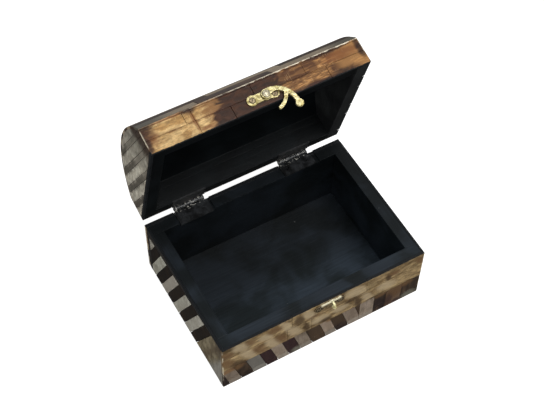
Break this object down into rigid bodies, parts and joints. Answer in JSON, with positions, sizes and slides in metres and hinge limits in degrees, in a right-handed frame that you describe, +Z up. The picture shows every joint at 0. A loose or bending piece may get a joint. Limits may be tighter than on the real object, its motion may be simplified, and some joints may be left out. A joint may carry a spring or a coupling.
{
  "type": "jewelry gift box",
  "caption": "Small wooden box with a hinged domed lid, bone and horn tile facing, black painted inside, and a brass swing-hook latch.",
  "frame": {"origin": "centre of the underside of the base", "axes": "+Z up, -Y towards the front with the latch, +X to the right seen from the front; the lid is open at rest"},
  "size_m": [0.178, 0.1655, 0.1886],
  "materials": {
    "black_painted_wood": "satin black paint",
    "steel_brads": "dull",
    "black_painted_hinge": "satin black paint",
    "aged_brass": "lightly tarnished",
    "black_horn": "polished",
    "burnt_bone": "polished, burnt edges",
    "golden_bone": "polished, burnt patches",
    "brown_horn": "polished",
    "grey_bone": "polished, fine grain"
  },
  "bodies": {
    "base": {"base_floor": "black_painted_wood", "base_floor_nails": "steel_brads", "base_front_wall": "black_painted_wood", "base_back_wall": "black_painted_wood", "base_left_wall": "black_painted_wood", "base_right_wall": "black_painted_wood", "base_front_planks": "burnt_bone", "base_front_light_tiles": "grey_bone", "base_front_dark_tiles": "brown_horn", "base_left_light_tiles": "grey_bone", "base_left_dark_tiles": "brown_horn", "base_left_edging": "black_horn", "base_right_light_tiles": "grey_bone", "base_right_dark_tiles": "brown_horn", "base_right_edging": "black_horn", "base_back_planks": "burnt_bone", "base_back_light_tiles": "grey_bone", "base_back_dark_tiles": "brown_horn", "catch_plate": "aged_brass", "catch_staple": "aged_brass", "catch_screws": "aged_brass", "left_hinge_base_leaf": "black_painted_hinge", "right_hinge_base_leaf": "black_painted_hinge", "left_hinge_pin": "black_painted_hinge", "right_hinge_pin": "black_painted_hinge", "hinge_base_screws": "black_painted_hinge"},
    "lid": {"lid_front_rail": "black_painted_wood", "lid_back_rail": "black_painted_wood", "lid_left_end": "black_painted_wood", "lid_right_end": "black_painted_wood", "lid_dome_panel": "black_painted_wood", "lid_front_light_planks": "golden_bone", "lid_front_dark_planks": "golden_bone", "lid_back_light_planks": "golden_bone", "lid_back_dark_planks": "golden_bone", "lid_left_light_tiles": "grey_bone", "lid_left_dark_tiles": "brown_horn", "lid_right_light_tiles": "grey_bone", "lid_right_dark_tiles": "brown_horn", "lid_dome_light_slats": "grey_bone", "lid_dome_dark_slats": "brown_horn", "left_hinge_lid_leaf": "black_painted_hinge", "right_hinge_lid_leaf": "black_painted_hinge", "hinge_lid_screws": "black_painted_hinge", "latch_plate": "aged_brass", "latch_screws": "aged_brass", "latch_rivet": "aged_brass"},
    "hook": {"latch_hook": "aged_brass"}
  },
  "joints": [
    {"name": "lid_hinge", "type": "hinge", "parent": "base", "child": "lid", "pos_m": [0, 0.06705, 0.0564], "axis": [-1, 0, 0], "range_deg": [-74.5, 35.5]},
    {"name": "hook_swing", "type": "hinge", "parent": "lid", "child": "hook", "pos_m": [0.0047, 0.04001, 0.18645], "axis": [0, -0.2672, 0.9636], "range_deg": [-50, 100]}
  ]
}
